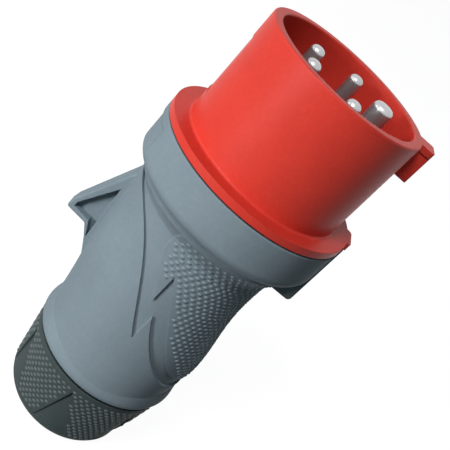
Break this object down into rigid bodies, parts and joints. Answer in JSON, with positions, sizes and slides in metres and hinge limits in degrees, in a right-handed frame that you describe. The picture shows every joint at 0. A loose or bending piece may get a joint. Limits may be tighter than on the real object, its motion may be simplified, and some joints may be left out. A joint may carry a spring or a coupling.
{
  "type": "pin and sleeve plug",
  "caption": "Industrial pin and sleeve plug, 57.5 mm sleeve: red keyed contact sleeve with round pins, grey one-piece handle with hooked fin and dotted grip, screwed cable gland.",
  "frame": {"origin": "centre of the cable entry, on the flat end face of the gland nut", "axes": "+Z from the cable entry to the mouth of the contact sleeve, +X towards the key, -X towards the hooked fin"},
  "size_m": [0.0749, 0.0692, 0.1605],
  "materials": {
    "red_polyamide": "smooth moulding, satin to glossy",
    "grey_polyamide": "fine spark-eroded moulding with dotted grips",
    "dark_polyamide": "fine matt moulding with dotted grips",
    "nickel": "nickel-plated brass, polished",
    "zinc_steel": "zinc-plated steel",
    "black_rubber": "matt",
    "light_polyamide": "plain moulding"
  },
  "bodies": {
    "plug": {"contact_sleeve": "red_polyamide", "contact_carrier": "red_polyamide", "pin_pe": "nickel", "pin_l1": "nickel", "pin_l2": "nickel", "pin_l3": "nickel", "pin_n": "nickel", "terminal_screw_pe": "zinc_steel", "terminal_screw_l1": "zinc_steel", "terminal_screw_l2": "zinc_steel", "terminal_screw_l3": "zinc_steel", "terminal_screw_n": "zinc_steel", "carrier_backplate": "light_polyamide", "backplate_screw": "zinc_steel", "carrier_screws": "zinc_steel", "flange_seal": "black_rubber", "housing": "grey_polyamide", "clamp_cage": "light_polyamide", "gland_seal": "black_rubber"},
    "ring": {"thrust_ring": "dark_polyamide"},
    "nut": {"gland_nut": "dark_polyamide"}
  },
  "joints": [
    {"name": "ring_slide", "type": "slide", "parent": "plug", "child": "ring", "axis": [0, 0, -1], "range_m": [0, 0.012]},
    {"name": "nut_turn", "type": "hinge", "parent": "ring", "child": "nut", "pos_m": [0, 0, 0], "axis": [0, 0, -1], "range_deg": [0, 2160]}
  ],
  "couplings": [
    {"joint": "ring_slide", "follows": "nut_turn", "m_per_rad": 0.0003183}
  ]
}
